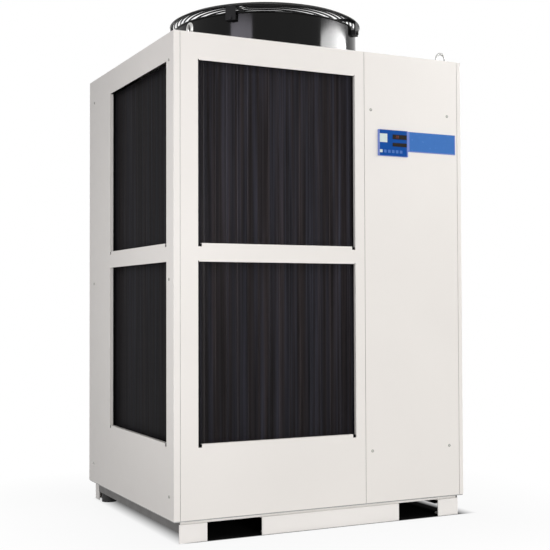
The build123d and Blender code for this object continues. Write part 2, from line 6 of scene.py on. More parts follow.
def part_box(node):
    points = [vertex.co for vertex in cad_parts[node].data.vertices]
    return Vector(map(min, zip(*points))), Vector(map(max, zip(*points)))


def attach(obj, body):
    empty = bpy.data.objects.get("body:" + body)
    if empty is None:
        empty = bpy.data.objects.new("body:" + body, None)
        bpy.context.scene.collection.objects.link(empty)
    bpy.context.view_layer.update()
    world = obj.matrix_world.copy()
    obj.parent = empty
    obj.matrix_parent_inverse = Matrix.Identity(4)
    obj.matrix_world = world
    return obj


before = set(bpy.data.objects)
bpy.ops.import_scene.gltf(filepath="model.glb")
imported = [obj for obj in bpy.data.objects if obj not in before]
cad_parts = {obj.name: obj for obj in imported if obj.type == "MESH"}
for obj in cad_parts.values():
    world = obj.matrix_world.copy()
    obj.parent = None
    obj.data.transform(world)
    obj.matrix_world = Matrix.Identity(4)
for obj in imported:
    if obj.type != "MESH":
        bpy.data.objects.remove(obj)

bl_info = {
    "name": "Recirculating chiller",
    "version": (1, 0, 0),
    "blender": (4, 5, 0),
    "location": "3D View > Sidebar > Chiller",
    "description": "Finishes, coil fins, fasteners and controls of an air-cooled recirculating chiller",
    "category": "Object",
}

MM = 0.001
BODY = "root"

SERVICE_LOW, SERVICE_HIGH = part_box("service_panel")
LEFT_LOW, LEFT_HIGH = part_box("left_panel")
RIGHT_LOW, RIGHT_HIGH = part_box("right_panel")
COIL_LOW, COIL_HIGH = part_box("condenser_coil")
CONTROL_LOW, CONTROL_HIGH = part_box("control_block")
DISPLAY_LOW, DISPLAY_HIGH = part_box("display_windows")
PLATE_LOW, PLATE_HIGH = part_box("name_plate")
BARREL_LOW, BARREL_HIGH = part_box("fan_shroud")
GUARD_LOW, GUARD_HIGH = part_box("fan_guard")
KEYS_LOW, KEYS_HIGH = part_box("control_keys")
BEAM_LOW, BEAM_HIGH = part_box("base_beam_front")
REAR_BEAM_LOW, REAR_BEAM_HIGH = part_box("base_beam_rear")
PAN_LOW, PAN_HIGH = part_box("base_pan")
REAR_UPPER_LOW, REAR_UPPER_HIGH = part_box("rear_upper_panel")
REAR_LOWER_LOW, REAR_LOWER_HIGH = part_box("rear_lower_panel")

FAN_CENTRE = ((BARREL_LOW[0] + BARREL_HIGH[0]) / 2, (BARREL_LOW[1] + BARREL_HIGH[1]) / 2)


# Finishes


def color(name, description, default):
    """A colour property in linear light."""
    return bpy.props.FloatVectorProperty(
        name=name, description=description, subtype="COLOR", size=3, min=0.0, max=1.0, default=default)


def length(name, description, default):
    """A length property in metres."""
    return bpy.props.FloatProperty(name=name, description=description, default=default, min=0.0, unit="LENGTH")


class ChillerFinishes(bpy.types.PropertyGroup):
    """Colours of the painted, plated and moulded surfaces."""

    cabinet: color("Cabinet paint", "Ivory powder coat of the panels", (0.795, 0.762, 0.722))
    base: color("Base paint", "Powder coat of the beams", (0.835, 0.805, 0.770))
    # Painted shade: the side rails' dark tone stands in for the shade under the panels.
    rail: color("Rail paint", "Darker coat of the side rails", (0.095, 0.090, 0.086))
    zinc: color("Zinc sheet", "Zinc-coated frame sheet", (0.300, 0.300, 0.290))
    fins: color("Coil fins", "Dark coating of the coil fins", (0.044, 0.041, 0.045))
    barrel: color("Fan barrel", "Gloss coat of the fan barrel", (0.003, 0.003, 0.003))
    guard: color("Wire guard", "Black coat of the wire guard", (0.006, 0.006, 0.006))
    rotor: color("Fan blades", "Moulded fan blades", (0.030, 0.031, 0.034))
    motor: color("Motor", "Painted motor housing", (0.110, 0.115, 0.120))
    lifting: color("Lifting eyes", "Plated steel of the eyebolts", (0.560, 0.560, 0.545))
    rubber: color("Rubber", "Rubber pads", (0.018, 0.018, 0.018))
    control: color("Control film", "Deep blue film of the control block", (0.001, 0.064, 0.300))
    plate: color("Plate film", "Blue film of the bare plate", (0.034, 0.148, 0.450))
    film_edge: color("Film border", "Paler border of the blue films", (0.180, 0.240, 0.560))
    display: color("Display window", "Dark tinted window", (0.014, 0.009, 0.006))
    digit: color("Digits", "Dimly lit display digits", (0.120, 0.006, 0.004))
    key: color("Keys", "Pale keys", (0.600, 0.680, 0.640))
    soft_key: color("Soft keys", "Row of bluish keys", (0.050, 0.150, 0.460))
    brass: color("Brass", "Machined pipe connections", (0.560, 0.400, 0.180))
    gland: color("Cable gland", "Moulded cable gland", (0.020, 0.020, 0.020))
    screw: color("Screws", "Plated screws", (0.330, 0.330, 0.300))


class ChillerCoil(bpy.types.PropertyGroup):
    """Sizes of the coil fins."""

    pitch: length("Fin pitch", "Distance between fins", 2.1 * MM)
    thickness: length("Fin thickness", "Thickness of one fin", 0.45 * MM)
    stand: length("Fin stand", "How far a fin stands out of the coil's face", 6.0 * MM)
    rib: length("Rib height", "How far the coil's own ribs stand out of its face", 4.0 * MM)
    margin: length("Fin margin", "Distance from the coil's top and bottom", 4.0 * MM)
    bend: length("Bend radius", "Outer radius of the coil's bend", 88.0 * MM)


class ChillerFasteners(bpy.types.PropertyGroup):
    """Sizes of the screws."""

    head: length("Head diameter", "Diameter of a panel screw's head", 9.0 * MM)
    height: length("Head height", "Height of a panel screw's head", 2.6 * MM)
    recess: length("Recess width", "Width of the cross recess", 1.3 * MM)
    bolt: length("Bolt size", "Width across the flats of a bolt's head", 10.0 * MM)
    bolt_height: length("Bolt head height", "Height of a bolt's head", 4.0 * MM)
    side_inset: length("Side inset", "Distance from a panel's edge", 22.0 * MM)
    strap_reach: length("Strap reach", "Distance of a guard strap's face from the fan's axis", 308.0 * MM)


class ChillerStage(bpy.types.PropertyGroup):
    """Camera and lamps."""

    camera_x: bpy.props.FloatProperty(name="Camera X", description="Place", default=-1.513, unit="LENGTH")
    camera_y: bpy.props.FloatProperty(name="Camera Y", description="Place", default=-3.138, unit="LENGTH")
    camera_z: bpy.props.FloatProperty(name="Camera Z", description="Height", default=0.647, unit="LENGTH")
    yaw: bpy.props.FloatProperty(
        name="Yaw", description="Turn to the right", default=radians(26.13), unit="ROTATION")
    pitch: bpy.props.FloatProperty(
        name="Pitch", description="Tilt upwards", default=radians(1.55), unit="ROTATION")
    roll: bpy.props.FloatProperty(
        name="Roll", description="Turn about the view axis", default=radians(-0.18), unit="ROTATION")
    lens: bpy.props.FloatProperty(
        name="Lens", description="Focal length in millimetres", default=70.5, subtype="NONE")
    ambient: bpy.props.FloatProperty(
        name="Ambient", description="Strength of the surrounding light", default=0.14, min=0.0)
    front_watts: bpy.props.FloatProperty(
        name="Front light", description="Power of the large lamp in front", default=124.0, min=0.0)
    side_watts: bpy.props.FloatProperty(
        name="Side light", description="Power of the lamp on the left", default=7.6, min=0.0)
    right_strip_watts: bpy.props.FloatProperty(
        name="Right strip", description="Power of the long lamp on the right", default=64.0, min=0.0)
    left_strip_watts: bpy.props.FloatProperty(
        name="Left strip", description="Power of the short lamp on the left", default=10.5, min=0.0)
    rear_watts: bpy.props.FloatProperty(
        name="Rear light", description="Power of the lamp behind", default=55.0, min=0.0)
    fade: length("Shadow fade", "Distance over which the floor's shadow fades to white", 0.6)


# Material helpers


def new_material(name):
    """An empty node material with its shader and output."""
    material = bpy.data.materials.new(name)
    material.use_nodes = True
    nodes = material.node_tree.nodes
    nodes.clear()
    output = nodes.new("ShaderNodeOutputMaterial")
    shader = nodes.new("ShaderNodeBsdfPrincipled")
    material.node_tree.links.new(shader.outputs["BSDF"], output.inputs["Surface"])
    return material, shader


def link(material, source, target):
    material.node_tree.links.new(source, target)


def object_coordinates(material, scale=(1.0, 1.0, 1.0)):
    """Object coordinates stretched by scale."""
    nodes = material.node_tree.nodes
    place = nodes.new("ShaderNodeTexCoord")
    mapping = nodes.new("ShaderNodeMapping")
    mapping.inputs["Scale"].default_value = scale
    link(material, place.outputs["Object"], mapping.inputs["Vector"])
    return mapping.outputs["Vector"]


def noise(material, vector, scale, detail=3.0, roughness=0.5):
    node = material.node_tree.nodes.new("ShaderNodeTexNoise")
    node.inputs["Scale"].default_value = scale
    node.inputs["Detail"].default_value = detail
    node.inputs["Roughness"].default_value = roughness
    link(material, vector, node.inputs["Vector"])
    return node.outputs["Fac"]


def spread(material, value, low, high, out_low, out_high):
    """Maps value from low..high to out_low..out_high."""
    node = material.node_tree.nodes.new("ShaderNodeMapRange")
    node.inputs["From Min"].default_value = low
    node.inputs["From Max"].default_value = high
    node.inputs["To Min"].default_value = out_low
    node.inputs["To Max"].default_value = out_high
    link(material, value, node.inputs["Value"])
    return node.outputs["Result"]


def blend_colors(material, factor, first, second):
    """Mixes two colours; each is a tuple or a socket."""
    node = material.node_tree.nodes.new("ShaderNodeMix")
    node.data_type = "RGBA"
    link(material, factor, node.inputs["Factor"])
    for value, socket in ((first, node.inputs[6]), (second, node.inputs[7])):
        if isinstance(value, (tuple, list)):
            socket.default_value = (*value[:3], 1.0)
        else:
            link(material, value, socket)
    return node.outputs[2]


def combine(material, operation, first, second):
    """A Math node; each value is a number or a socket."""
    node = material.node_tree.nodes.new("ShaderNodeMath")
    node.operation = operation
    for value, socket in zip((first, second), node.inputs):
        if isinstance(value, (int, float)):
            socket.default_value = value
        else:
            link(material, value, socket)
    return node.outputs[0]


def coordinate_axes(material):
    """Object coordinates as three sockets."""
    nodes = material.node_tree.nodes
    place = nodes.new("ShaderNodeTexCoord")
    axes = nodes.new("ShaderNodeSeparateXYZ")
    link(material, place.outputs["Object"], axes.inputs["Vector"])
    return axes.outputs


def bump(material, shader, height, strength, distance):
    """Bump from a height socket, on the shader's normal."""
    node = material.node_tree.nodes.new("ShaderNodeBump")
    node.inputs["Strength"].default_value = strength
    node.inputs["Distance"].default_value = distance
    link(material, height, node.inputs["Height"])
    link(material, node.outputs["Normal"], shader.inputs["Normal"])
    return node


def shade(value, factor):
    """A colour made lighter or darker."""
    return tuple(min(1.0, channel * factor) for channel in value)


def powder_coat(name, tone, rough=0.38, grain=0.5):
    """Powder-coated sheet: fine orange peel, faint cloudiness and a little dust."""
    material, shader = new_material(name)
    vector = object_coordinates(material)
    clouds = noise(material, vector, 2.2, 2.0)
    factor = spread(material, clouds, 0.35, 0.65, 0.0, 1.0)
    base = blend_colors(material, factor, shade(tone, 0.985), shade(tone, 1.012))
    link(material, base, shader.inputs["Base Color"])
    gloss = noise(material, vector, 30.0, 2.0)
    link(material, spread(material, gloss, 0.3, 0.7, rough - 0.04, rough + 0.05), shader.inputs["Roughness"])
    shader.inputs["Specular IOR Level"].default_value = 0.45
    bump(material, shader, noise(material, vector, 700.0, 2.0), 0.08 * grain, 0.0006)
    return material


def metal_sheet(name, tone, rough=0.35, metallic=0.85):
    """Zinc-coated sheet with its faint crystal pattern."""
    material, shader = new_material(name)
    vector = object_coordinates(material)
    cells = material.node_tree.nodes.new("ShaderNodeTexVoronoi")
    cells.inputs["Scale"].default_value = 90.0
    link(material, vector, cells.inputs["Vector"])
    factor = spread(material, cells.outputs["Distance"], 0.0, 0.8, 0.0, 1.0)
    base = blend_colors(material, factor, shade(tone, 0.85), shade(tone, 1.1))
    link(material, base, shader.inputs["Base Color"])
    shader.inputs["Metallic"].default_value = metallic
    link(material, spread(material, factor, 0.0, 1.0, rough - 0.06, rough + 0.08), shader.inputs["Roughness"])
    bump(material, shader, noise(material, vector, 260.0), 0.08, 0.0004)
    return material


def plastic(name, tone, rough=0.22, specular=0.3, patch=None):
    """Moulded plastic or printed film; patch is a mask builder and the colour of what it marks."""
    material, shader = new_material(name)
    vector = object_coordinates(material)
    factor = noise(material, vector, 60.0)
    base = blend_colors(material, factor, shade(tone, 0.94), shade(tone, 1.06))
    if patch:
        mask, patch_tone = patch
        base = blend_colors(material, mask(material), base, patch_tone)
    link(material, base, shader.inputs["Base Color"])
    link(material, spread(material, factor, 0.3, 0.7, rough, rough + 0.06), shader.inputs["Roughness"])
    shader.inputs["Specular IOR Level"].default_value = specular
    bump(material, shader, noise(material, vector, 900.0), 0.03, 0.0003)
    return material


def border_mask(low, high, left, right, top, bottom):
    """Marks the margins of a film that faces the front."""
    def build(material):
        x, _, z = coordinate_axes(material)[:3]
        sides = (
            combine(material, "LESS_THAN", x, low[0] + left),
            combine(material, "GREATER_THAN", x, high[0] - right),
            combine(material, "GREATER_THAN", z, high[2] - top),
            combine(material, "LESS_THAN", z, low[2] + bottom),
        )
        factor = sides[0]
        for side in sides[1:]:
            factor = combine(material, "MAXIMUM", factor, side)
        return factor
    return build


def corner_mask(left, top):
    """Marks what lies right of left and below top."""
    def build(material):
        x, _, z = coordinate_axes(material)[:3]
        right_of = combine(material, "GREATER_THAN", x, left)
        return combine(material, "MULTIPLY", right_of, combine(material, "LESS_THAN", z, top))
    return build


def gloss_coat(name, tone, rough=0.08, specular=0.15):
    """Gloss coat on rolled sheet with faint vertical rolling marks."""
    material, shader = new_material(name)
    vector = object_coordinates(material, (1.0, 1.0, 0.08))
    factor = noise(material, vector, 24.0)
    base = blend_colors(material, factor, shade(tone, 0.8), shade(tone, 1.25))
    link(material, base, shader.inputs["Base Color"])
    link(material, spread(material, factor, 0.3, 0.7, rough, rough + 0.04), shader.inputs["Roughness"])
    shader.inputs["Specular IOR Level"].default_value = specular
    bump(material, shader, noise(material, vector, 5.0, 1.0), 0.05, 0.003)
    return material


def dark_coat(name, tone, rough=0.35, specular=0.15):
    """Dark dipped coat of the guard wires, a little thicker here and there."""
    material, shader = new_material(name)
    vector = object_coordinates(material)
    factor = noise(material, vector, 45.0)
    base = blend_colors(material, factor, shade(tone, 0.6), shade(tone, 1.6))
    link(material, base, shader.inputs["Base Color"])
    link(material, spread(material, factor, 0.3, 0.7, rough - 0.05, rough + 0.1), shader.inputs["Roughness"])
    shader.inputs["Specular IOR Level"].default_value = specular
    bump(material, shader, noise(material, vector, 320.0), 0.12, 0.0005)
    return material


def fin_coat_with_painted_light(name, tone):
    """Dark coated fins, warm and cool by turns, with painted sheen in vertical streaks where bent fins catch
    the light, painted shade that darkens them towards the bottom, and painted shade on the coil's left run.
    """
    material, shader = new_material(name)
    stretched = object_coordinates(material, (1.0, 1.0, 0.01))
    broad = noise(material, stretched, 38.0, 2.0, 0.6)
    fine = noise(material, stretched, 150.0, 2.0, 0.6)
    tint = noise(material, stretched, 75.0, 1.0)
    warm = (tone[0] * 1.12, tone[1] * 0.97, tone[2] * 0.93)
    cool = (tone[0] * 0.93, tone[1] * 0.97, tone[2] * 1.15)
    base = blend_colors(material, spread(material, tint, 0.4, 0.6, 0.0, 1.0), warm, cool)
    # Painted sheen: brighter and darker vertical streaks where bent fins catch the light.
    broad_light = spread(material, broad, 0.35, 0.65, 0.68, 1.32)
    fine_light = spread(material, fine, 0.35, 0.7, 0.45, 2.0)
    light = combine(material, "MULTIPLY", broad_light, fine_light)
    x, _, z = coordinate_axes(material)[:3]
    # Painted shade: the coil's colour grows darker towards its bottom.
    height = spread(material, z, COIL_LOW[2], (COIL_LOW[2] + COIL_HIGH[2]) / 2, 0.66, 1.0)
    # Painted shade: the fins of the coil's left run are darker.
    side = spread(material, x, COIL_LOW[0] + 12 * MM, COIL_LOW[0] + 70 * MM, 0.34, 1.0)
    light = combine(material, "MULTIPLY", light, side)
    scaled = material.node_tree.nodes.new("ShaderNodeVectorMath")
    scaled.operation = "SCALE"
    link(material, base, scaled.inputs[0])
    link(material, combine(material, "MULTIPLY", light, height), scaled.inputs["Scale"])
    link(material, scaled.outputs[0], shader.inputs["Base Color"])
    shader.inputs["Specular IOR Level"].default_value = 0.2
    link(material, spread(material, broad, 0.3, 0.7, 0.45, 0.6), shader.inputs["Roughness"])
    return material


def rubber(name, tone):
    material, shader = new_material(name)
    vector = object_coordinates(material)
    factor = noise(material, vector, 120.0)
    base = blend_colors(material, factor, shade(tone, 0.8), shade(tone, 1.4))
    link(material, base, shader.inputs["Base Color"])
    link(material, spread(material, factor, 0.3, 0.7, 0.7, 0.85), shader.inputs["Roughness"])
    bump(material, shader, factor, 0.25, 0.0006)
    return material


def lit_digit(name, tone):
    """Glowing segments."""
    material, shader = new_material(name)
    vector = object_coordinates(material)
    factor = noise(material, vector, 400.0)
    glow = blend_colors(material, factor, shade(tone, 0.9), shade(tone, 1.1))
    link(material, glow, shader.inputs["Base Color"])
    link(material, glow, shader.inputs["Emission Color"])
    shader.inputs["Emission Strength"].default_value = 0.6
    shader.inputs["Roughness"].default_value = 0.4
    return material


# Modelling helpers


def deselect_all():
    """Nothing selected and nothing active, in object mode."""
    if bpy.context.mode != "OBJECT":
        bpy.ops.object.mode_set(mode="OBJECT")
    bpy.ops.object.select_all(action="DESELECT")


def finish_piece(piece, name, material):
    """Applies the piece's place, names it and makes it ride."""
    deselect_all()
    piece.select_set(True)
    bpy.context.view_layer.objects.active = piece
    bpy.ops.object.transform_apply(location=True, rotation=True, scale=True)
    piece.name = name
    piece.data.name = name
    piece.data.materials.clear()
    piece.data.materials.append(material)
    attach(piece, BODY)
    return piece


def apply_modifiers(piece):
    deselect_all()
    piece.select_set(True)
    bpy.context.view_layer.objects.active = piece
    for modifier in list(piece.modifiers):
        bpy.ops.object.modifier_apply(modifier=modifier.name)


def join(pieces):
    """Joins pieces into the first one."""
    deselect_all()
    for piece in pieces:
        piece.select_set(True)
    bpy.context.view_layer.objects.active = pieces[0]
    if len(pieces) > 1:
        bpy.ops.object.join()
    return pieces[0]


def select_faces(piece, test):
    """Selects the faces for which test(face) is true, in edit mode."""
    bpy.context.view_layer.objects.active = piece
    bpy.ops.object.mode_set(mode="EDIT")
    bpy.ops.mesh.select_mode(type="FACE")
    bpy.ops.mesh.select_all(action="DESELECT")
    bpy.ops.object.mode_set(mode="OBJECT")
    for face in piece.data.polygons:
        face.select = test(face)
    bpy.ops.object.mode_set(mode="EDIT")


def added_box(low, high):
    """A box between two corners, selected and active."""
    deselect_all()
    centre = [(a + b) / 2 for a, b in zip(low, high)]
    size = [b - a for a, b in zip(low, high)]
    bpy.ops.mesh.primitive_cube_add(size=1.0, location=centre)
    piece = bpy.context.object
    piece.scale = size
    bpy.ops.object.transform_apply(location=False, rotation=False, scale=True)
    return piece


def soften(piece, width, segments=2):
    """Rounds the edges of a piece by a bevel."""
    modifier = piece.modifiers.new("Edges", "BEVEL")
    modifier.width = width
    modifier.segments = segments
    modifier.limit_method = "ANGLE"
    modifier.angle_limit = radians(40)
    apply_modifiers(piece)
    bpy.ops.object.shade_smooth_by_angle(angle=radians(35))


# Pieces


def screw_head(settings):
    """A pan head screw with a cross recess, standing on Z = 0."""
    deselect_all()
    radius = settings.head / 2
    bpy.ops.mesh.primitive_cylinder_add(
        vertices=20, radius=radius, depth=settings.height, location=(0, 0, settings.height / 2))
    head = bpy.context.object
    select_faces(head, lambda face: face.normal.z > 0.9)
    bpy.ops.mesh.bevel(offset=settings.height * 0.45, segments=3, affect="EDGES")
    bpy.ops.object.mode_set(mode="OBJECT")
    cutters = []
    reach = radius * 0.62
    half = settings.recess / 2
    for size in ((reach, half), (half, reach)):
        low = (-size[0], -size[1], settings.height * 0.35)
        high = (size[0], size[1], settings.height * 2)
        cutters.append(added_box(low, high))
    for cutter in cutters:
        modifier = head.modifiers.new("Recess", "BOOLEAN")
        modifier.operation = "DIFFERENCE"
        modifier.object = cutter
        modifier.solver = "EXACT"
    apply_modifiers(head)
    for cutter in cutters:
        bpy.data.objects.remove(cutter, do_unlink=True)
    deselect_all()
    head.select_set(True)
    bpy.context.view_layer.objects.active = head
    bpy.ops.object.shade_smooth_by_angle(angle=radians(35))
    return head


def facing(direction):
    """Turn that takes +Z to a direction."""
    return Vector(direction).to_track_quat("Z", "Y").to_matrix().to_4x4()


def screws(name, places, direction, settings, material):
    """Like screws at several places, joined into one piece."""
    model = screw_head(settings)
    copies = []
    for index, place in enumerate(places):
        copy = model.copy()
        copy.data = model.data.copy()
        bpy.context.scene.collection.objects.link(copy)
        turn = Matrix.Rotation(radians(17 + 37 * index), 4, "Z")
        copy.matrix_world = Matrix.Translation(place) @ facing(direction) @ turn
        copies.append(copy)
    bpy.data.objects.remove(model, do_unlink=True)
    return finish_piece(join(copies), name, material)


def hex_bolt(across, height):
    """A hexagon head on a washer, standing on Z = 0."""
    deselect_all()
    washer = across * 0.16
    bpy.ops.mesh.primitive_cylinder_add(
        vertices=24, radius=across * 0.85, depth=washer, location=(0, 0, washer / 2))
    base = bpy.context.object
    soften(base, washer * 0.3, 1)
    deselect_all()
    bpy.ops.mesh.primitive_cylinder_add(
        vertices=6, radius=across / 1.732, depth=height, location=(0, 0, washer + height / 2))
    head = bpy.context.object
    select_faces(head, lambda face: face.normal.z > 0.9)
    bpy.ops.mesh.inset(thickness=across * 0.06)
    bpy.ops.mesh.bevel(offset=across * 0.05, segments=2, affect="EDGES")
    bpy.ops.object.mode_set(mode="OBJECT")
    return join([base, head])


def bolts(name, places, directions, settings, material):
    """Like hexagon bolts at several places, joined into one piece."""
    model = hex_bolt(settings.bolt, settings.bolt_height)
    copies = []
    for index, (place, direction) in enumerate(zip(places, directions)):
        copy = model.copy()
        copy.data = model.data.copy()
        bpy.context.scene.collection.objects.link(copy)
        turn = Matrix.Rotation(radians(11 + 23 * index), 4, "Z")
        copy.matrix_world = Matrix.Translation(place) @ facing(direction) @ turn
        copies.append(copy)
    bpy.data.objects.remove(model, do_unlink=True)
    return finish_piece(join(copies), name, material)


def fin_strip(low, high, count, step):
    """A row of upright fins from one modelled fin and an array."""
    fin = added_box(low, high)
    modifier = fin.modifiers.new("Row", "ARRAY")
    modifier.use_relative_offset = False
    modifier.use_constant_offset = True
    modifier.constant_offset_displace = step
    modifier.count = count
    apply_modifiers(fin)
    return fin


def coil_fins(settings):
    """Fins on the outer face of the coil: front run, side run and the bend between them."""
    x0 = COIL_LOW[0] + settings.rib
    y0 = COIL_LOW[1] + settings.rib
    z0 = COIL_LOW[2]
    x1, y1, z1 = COIL_HIGH
    z0 += settings.margin
    z1 -= settings.margin
    half = settings.thickness / 2
    buried = 1.0 * MM
    runs = []
    start = x0 + settings.bend
    count = int((x1 - start) / settings.pitch)
    low = (start - half, y0 - settings.stand, z0)
    high = (start + half, y0 + buried, z1)
    runs.append(fin_strip(low, high, count, (settings.pitch, 0, 0)))
    start = y0 + settings.bend
    count = int((y1 - start) / settings.pitch)
    low = (x0 - settings.stand, start - half, z0)
    high = (x0 + buried, start + half, z1)
    runs.append(fin_strip(low, high, count, (0, settings.pitch, 0)))
    centre = Vector((x0 + settings.bend, y0 + settings.bend, 0.0))
    steps = int(settings.bend * pi / 2 / settings.pitch)
    low = (centre.x - half, y0 - settings.stand, z0)
    high = (centre.x + half, y0 + buried, z1)
    model = added_box(low, high)
    for index in range(1, steps):
        copy = model.copy()
        copy.data = model.data.copy()
        bpy.context.scene.collection.objects.link(copy)
        turn = Matrix.Rotation(-index / steps * pi / 2, 4, "Z")
        copy.matrix_world = Matrix.Translation(centre) @ turn @ Matrix.Translation(-centre) @ model.matrix_world
        runs.append(copy)
    bpy.data.objects.remove(model, do_unlink=True)
    return join(runs)


def digit_segments(character):
    """Which of the seven segments are lit: top, two upper sides, middle, two lower sides, bottom."""
    lit = {
        "0": (1, 1, 1, 0, 1, 1, 1),
        "2": (1, 0, 1, 1, 1, 0, 1),
    }
    return lit[character]


def display_digits(text, left, bottom, height, y, depth):
    """Seven-segment digits as thin bars in front of y."""
    bars = []
    width = height * 0.55
    stroke = height * 0.13
    pitch = width * 1.5
    for index, character in enumerate(text):
        x = left + index * pitch
        middle = bottom + height / 2
        top = bottom + height
        places = (
            ((x, top - stroke), (x + width, top)),
            ((x, middle), (x + stroke, top)),
            ((x + width - stroke, middle), (x + width, top)),
            ((x, middle - stroke / 2), (x + width, middle + stroke / 2)),
            ((x, bottom), (x + stroke, middle)),
            ((x + width - stroke, bottom), (x + width, middle)),
            ((x, bottom), (x + width, bottom + stroke)),
        )
        for lit, (low, high) in zip(digit_segments(character), places):
            if lit:
                bars.append(added_box((low[0], y - depth, low[1]), (high[0], y, high[1])))
    return join(bars)


# Operators


def paint(node, material):
    """Gives a CAD node its finish."""
    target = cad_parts[node]
    target.data.materials.clear()
    target.data.materials.append(material)


def round_edges(node, width):
    """Small folded-sheet radius on a CAD node by modifiers, which leave its mesh alone."""
    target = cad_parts[node]
    weld = target.modifiers.new("Merge", "WELD")
    weld.merge_threshold = 0.00001
    edges = target.modifiers.new("Edges", "BEVEL")
    edges.width = width
    edges.segments = 2
    edges.limit_method = "ANGLE"
    edges.angle_limit = radians(50)
    edges.harden_normals = True


class CHILLER_OT_cabinet(bpy.types.Operator):
    """Paints the cabinet panels and the base"""

    bl_idname = "chiller.cabinet"
    bl_label = "Cabinet and base"

    def execute(self, context):
        finishes = context.scene.chiller_finishes
        coat = powder_coat("cabinet_coat", tuple(finishes.cabinet))
        for node in ("front_intake_panel", "service_panel", "left_panel", "right_panel",
                     "rear_upper_panel", "rear_lower_panel", "top_panel"):
            paint(node, coat)
        base = powder_coat("base_coat", tuple(finishes.base), 0.42)
        for node in ("base_beam_front", "base_beam_rear"):
            paint(node, base)
        # Painted shade: the side rails' dark coat stands in for the shade under the panels.
        rail = powder_coat("rail_coat_painted_shade", tuple(finishes.rail), 0.5)
        for node in ("base_rail_left", "base_rail_right"):
            paint(node, rail)
        zinc = metal_sheet("zinc_sheet", tuple(finishes.zinc))
        for node in ("base_pan", "post_front_left", "post_front_right", "post_rear_left", "post_rear_right",
                     "post_front_centre", "rear_cross_rail", "top_frame", "chamber_floor", "motor_arms"):
            paint(node, zinc)
        pads = rubber("pad_rubber", tuple(finishes.rubber))
        for node in ("rubber_pad_left", "rubber_pad_right"):
            paint(node, pads)
        return {"FINISHED"}


class CHILLER_OT_coil(bpy.types.Operator):
    """Adds the fins to the condenser coil and coats it"""

    bl_idname = "chiller.coil"
    bl_label = "Condenser coil"

    def execute(self, context):
        coating = fin_coat_with_painted_light("fin_coat_with_painted_light", tuple(context.scene.chiller_finishes.fins))
        paint("condenser_coil", coating)
        fins = coil_fins(context.scene.chiller_coil)
        finish_piece(fins, "coil_fins", coating)
        return {"FINISHED"}


class CHILLER_OT_fan(bpy.types.Operator):
    """Finishes the fan barrel, guard, rotor and motor"""

    bl_idname = "chiller.fan"
    bl_label = "Fan"

    def execute(self, context):
        finishes = context.scene.chiller_finishes
        paint("fan_shroud", gloss_coat("barrel_coat", tuple(finishes.barrel)))
        paint("fan_inlet", metal_sheet("inlet_sheet", tuple(finishes.zinc)))
        paint("fan_guard", dark_coat("guard_coat", tuple(finishes.guard)))
        paint("fan_rotor", plastic("blade_plastic", tuple(finishes.rotor), 0.35))
        paint("fan_motor", powder_coat("motor_paint", tuple(finishes.motor), 0.45, 1.5))
        return {"FINISHED"}


class CHILLER_OT_controls(bpy.types.Operator):
    """Finishes the control block and adds plain display digits"""

    bl_idname = "chiller.controls"
    bl_label = "Controls"

    def execute(self, context):
        finishes = context.scene.chiller_finishes
        edge = tuple(finishes.film_edge)
        block_border = border_mask(CONTROL_LOW, CONTROL_HIGH, 5 * MM, 4 * MM, 0.0, 1.5 * MM)
        film = plastic("control_film", tuple(finishes.control), 0.3, 0.12, (block_border, edge))
        paint("control_block", film)
        plate_border = border_mask(PLATE_LOW, PLATE_HIGH, 6 * MM, 2.5 * MM, 0.0, 2.5 * MM)
        paint("name_plate", plastic("plate_film", tuple(finishes.plate), patch=(plate_border, edge)))
        paint("display_windows", plastic("display_window", tuple(finishes.display), 0.1, 0.2))
        soft_row = corner_mask(KEYS_LOW[0] + 11.5 * MM, KEYS_LOW[2] + 15 * MM)
        keys = plastic("key_plastic", tuple(finishes.key), 0.4, patch=(soft_row, tuple(finishes.soft_key)))
        paint("control_keys", keys)
        round_edges("control_block", 1.2 * MM)
        round_edges("name_plate", 0.6 * MM)
        round_edges("control_keys", 0.4 * MM)
        digit = lit_digit("digit_glow", tuple(finishes.digit))
        front = DISPLAY_LOW[1]
        left = DISPLAY_LOW[0] + 11 * MM
        height = 7.5 * MM
        upper = display_digits("20", left, DISPLAY_HIGH[2] - 10.5 * MM, height, front, 0.2 * MM)
        finish_piece(upper, "display_digits", digit)
        return {"FINISHED"}


class CHILLER_OT_fittings(bpy.types.Operator):
    """Finishes the lifting eyes and the rear connections"""

    bl_idname = "chiller.fittings"
    bl_label = "Fittings"

    def execute(self, context):
        finishes = context.scene.chiller_finishes
        steel = metal_sheet("plated_steel", tuple(finishes.lifting), 0.32)
        for place in ("front_left", "front_right", "rear_left", "rear_right"):
            paint("eyebolt_" + place, steel)
        brass = metal_sheet("machined_brass", tuple(finishes.brass), 0.28, 1.0)
        for node in ("water_outlet", "water_return", "drain_port", "overflow_port"):
            paint(node, brass)
        paint("cable_gland", plastic("gland_plastic", tuple(finishes.gland), 0.5))
        return {"FINISHED"}


